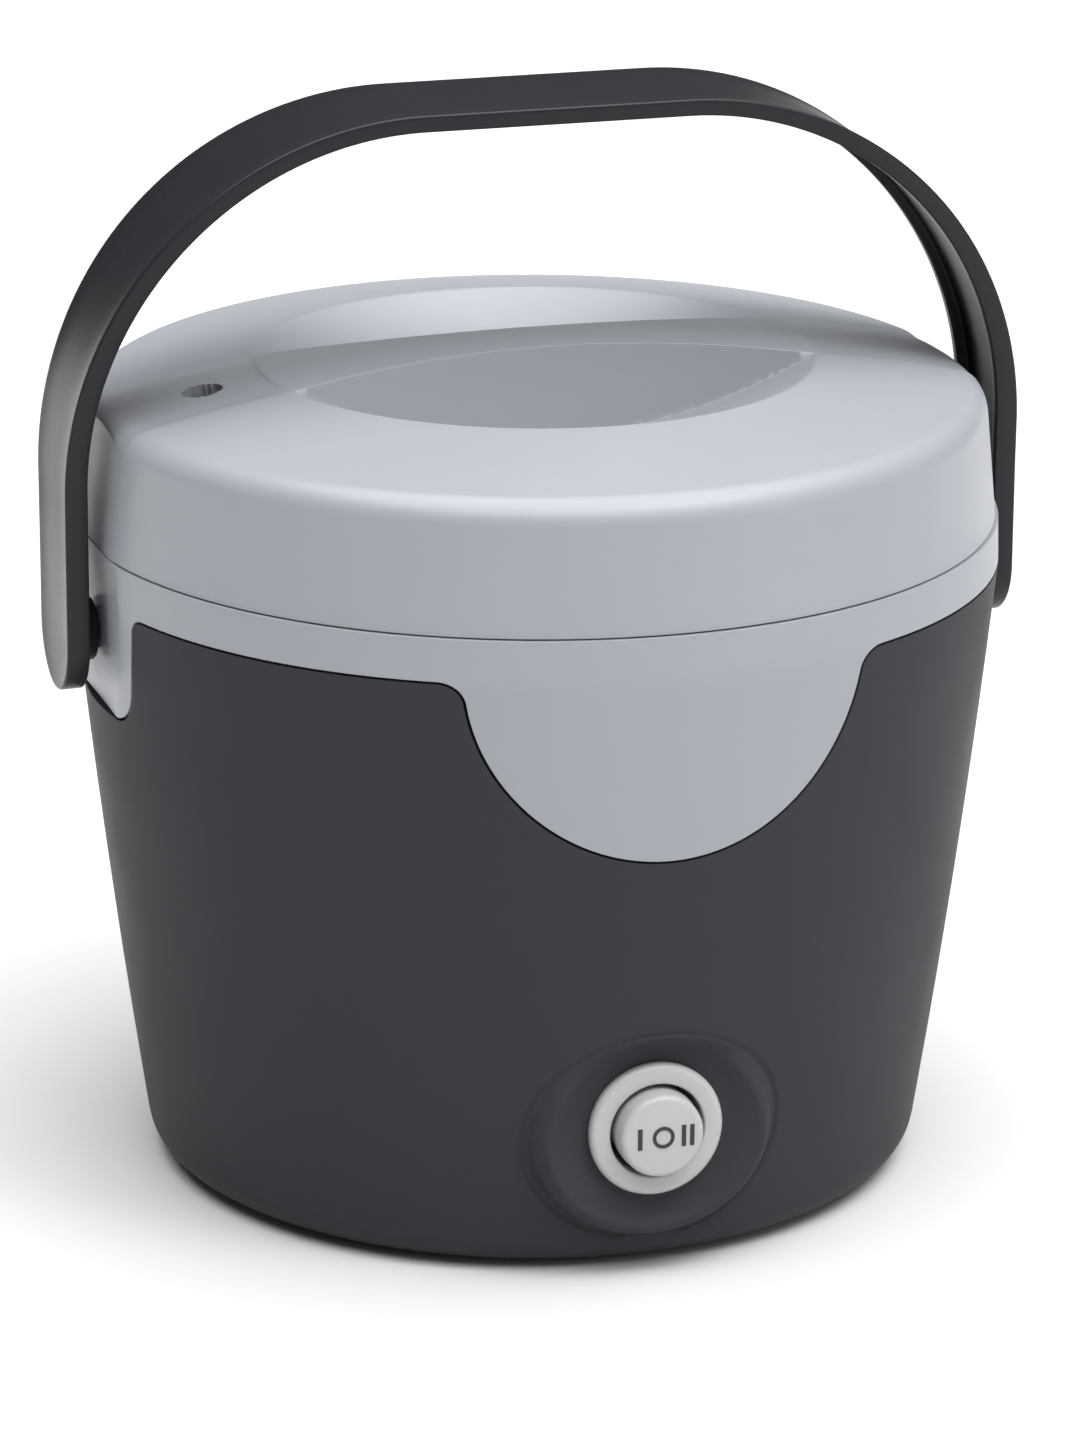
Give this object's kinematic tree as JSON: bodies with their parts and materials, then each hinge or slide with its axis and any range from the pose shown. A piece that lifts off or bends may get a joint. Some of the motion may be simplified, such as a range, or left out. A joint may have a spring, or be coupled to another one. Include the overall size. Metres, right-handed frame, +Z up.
{
  "type": "slow cooker",
  "caption": "Round lunch-size slow cooker with a removable crock, a domed lid with finger recesses, a swinging carry handle and a round three-position rocker switch.",
  "frame": {"origin": "middle of the base, on the surface that the rubber feet stand on", "axes": "+Z up, front with the switch and shield towards -Y, handle pivots on the X axis line"},
  "size_m": [0.1866, 0.1773, 0.206],
  "materials": {
    "charcoal_shell": "fine-grained matt charcoal moulding",
    "charcoal_handle": "satin dark charcoal moulding",
    "light_grey": "satin light cool grey moulding",
    "silver_plastic": "satin silver grey moulding",
    "dark_print": "printed marks",
    "black_plastic": "matt black moulding",
    "liner_plastic": "matt mid grey moulding",
    "rubber": "soft black rubber",
    "silicone": "pale silicone",
    "steel": "zinc plated",
    "well_aluminium": "drawn aluminium",
    "mica_band": "mica board",
    "glass_wrap": "woven glass fibre",
    "brass": "bright brass",
    "lead_black": "silicone sleeved lead",
    "lead_red": "silicone sleeved lead",
    "lead_white": "silicone sleeved lead",
    "crock_glaze": "black glazed stoneware"
  },
  "bodies": {
    "base": {"band_clamps": "steel", "base_cover": "black_plastic", "base_screws": "steel", "collar": "light_grey", "crimp_terminals": "brass", "fuse_clip": "steel", "heat_shield": "well_aluminium", "heater_band": "mica_band", "heating_well": "well_aluminium", "inlet_housing": "black_plastic", "inlet_pins": "brass", "inlet_screws": "steel", "insulation_wrap": "glass_wrap", "lead_fuse_to_switch": "lead_black", "lead_inlet_to_fuse": "lead_black", "lead_return_to_thermostat": "lead_white", "lead_switch_to_high": "lead_red", "lead_switch_to_low": "lead_red", "lead_thermostat_to_inlet": "lead_white", "outer_body": "charcoal_shell", "rubber_feet": "rubber", "strap_screws": "steel", "stud_nut": "steel", "stud_spacers": "steel", "switch_housing": "silver_plastic", "switch_terminals": "brass", "thermal_fuse": "steel", "thermostat": "black_plastic", "thermostat_bracket": "steel", "well_gasket": "silicone", "well_strap": "steel", "well_stud": "steel"},
    "bail": {"bail_handle": "charcoal_handle", "bail_washers": "steel", "bail_screws": "steel"},
    "crock": {"crock": "crock_glaze"},
    "lid": {"lid_shell": "light_grey", "lid_liner": "liner_plastic", "lid_gasket": "silicone", "lid_screws": "steel"},
    "rocker": {"switch_rocker": "silver_plastic", "rocker_marks": "dark_print"}
  },
  "joints": [
    {"name": "bail_swing", "type": "hinge", "parent": "base", "child": "bail", "pos_m": [0, 0, 0.1095], "axis": [1, 0, 0], "range_deg": [-110, 110]},
    {"name": "crock_lift", "type": "slide", "parent": "base", "child": "crock", "axis": [0, 0, 1], "range_m": [0, 0.012]},
    {"name": "lid_lift", "type": "slide", "parent": "crock", "child": "lid", "axis": [0, 0, 1], "range_m": [0, 0.012]},
    {"name": "rocker_tilt", "type": "hinge", "parent": "base", "child": "rocker", "pos_m": [0, -0.0745, 0.0288], "axis": [0, 0, 1], "range_deg": [-9, 9]}
  ]
}
